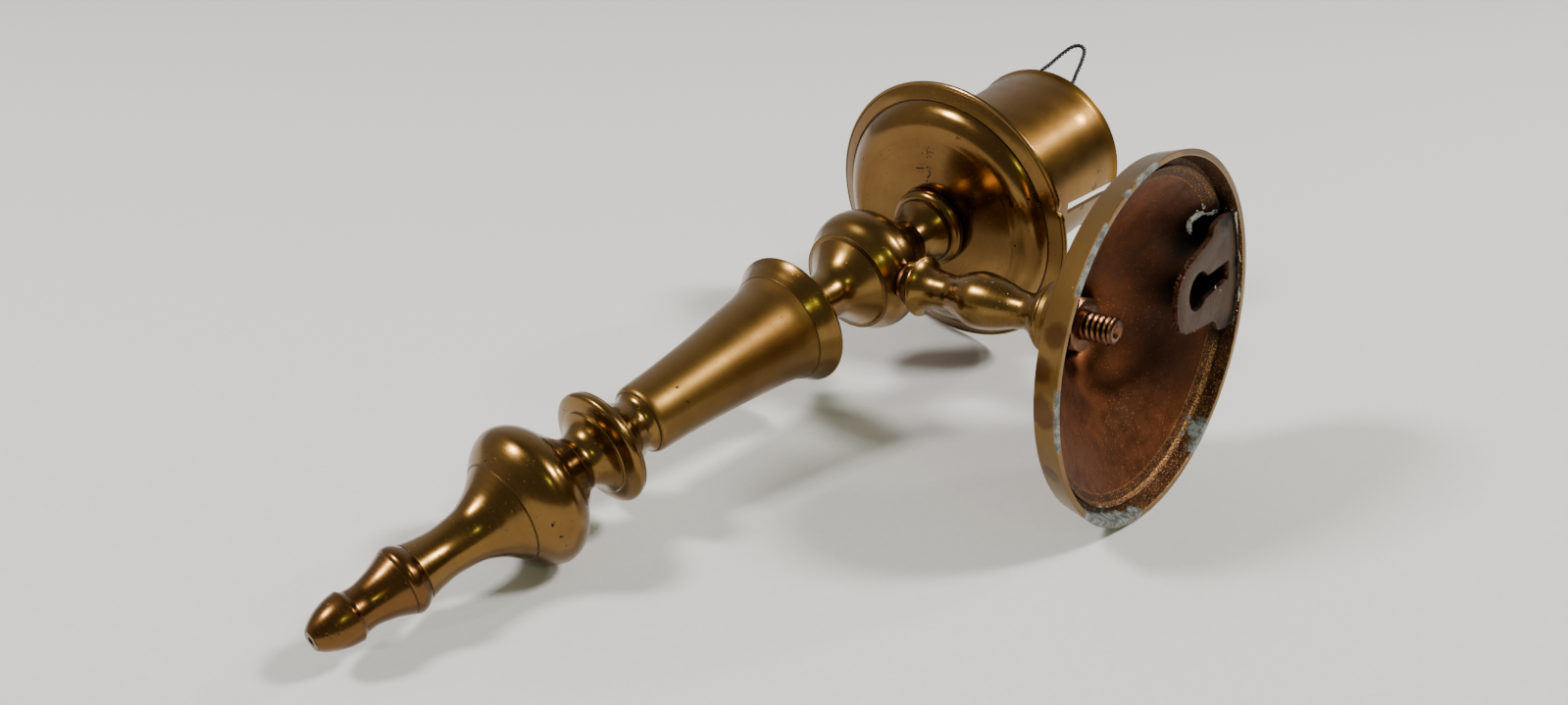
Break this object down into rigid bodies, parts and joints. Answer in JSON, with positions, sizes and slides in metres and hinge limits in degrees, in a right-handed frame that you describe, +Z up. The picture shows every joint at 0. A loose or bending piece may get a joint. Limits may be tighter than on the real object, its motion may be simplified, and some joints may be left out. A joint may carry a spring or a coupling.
{
  "type": "candle wall sconce",
  "caption": "Turned brass wall sconce: hollow round wall plate with keyhole hanger, baluster arm, ball, drip pan and slit candle cup above a long turned drop.",
  "frame": {"origin": "centre of the wall plate's rim, in the plane of the wall", "axes": "+Y points into the wall along the arm's axis, the arm runs along -Y, +Z points up along the stem towards the candle cup, +X to the side"},
  "size_m": [0.0762, 0.1112, 0.2403],
  "materials": {
    "brass": "aged lacquered brass, satin gloss with fine lathe lines",
    "cast_back": "lacquered brass face over a dark brown sand-cast back",
    "rod_brass": "dark coppery brass, threaded",
    "hanger_steel": "dull grey-brown sheet steel",
    "solder": "bright uneven solder",
    "wire": "dark grey twisted wire"
  },
  "bodies": {
    "root": {"wall_plate": "cast_back", "hanger_plate": "hanger_steel", "hanger_solder": "solder", "plate_nut": "rod_brass", "arm_rod": "rod_brass", "arm_ring": "brass", "arm": "brass", "arm_disc": "rod_brass"},
    "stem": {"ball": "brass", "round_bead": "brass", "drip_pan": "brass", "candle_cup": "brass", "cup_screw": "rod_brass", "cup_washer": "rod_brass", "wire_foot": "wire", "funnel": "brass", "cone_lip": "brass", "cone": "brass", "collar": "brass", "vase_bulb": "brass", "vase_foot": "brass", "tip_bead": "brass", "tip": "brass", "tie_rod": "rod_brass"},
    "spring": {"candle_wire": "wire"}
  },
  "joints": [
    {"name": "stem_swivel", "type": "hinge", "parent": "root", "child": "stem", "pos_m": [0, -0.0762, 0], "axis": [0, 1, 0], "range_deg": [-20, 20]},
    {"name": "wire_flex", "type": "hinge", "parent": "stem", "child": "spring", "pos_m": [0.0189, -0.0734, 0.0315], "axis": [0, 1, 0], "range_deg": [-8, 0], "stiffness_Nm_per_rad": 0.02}
  ]
}
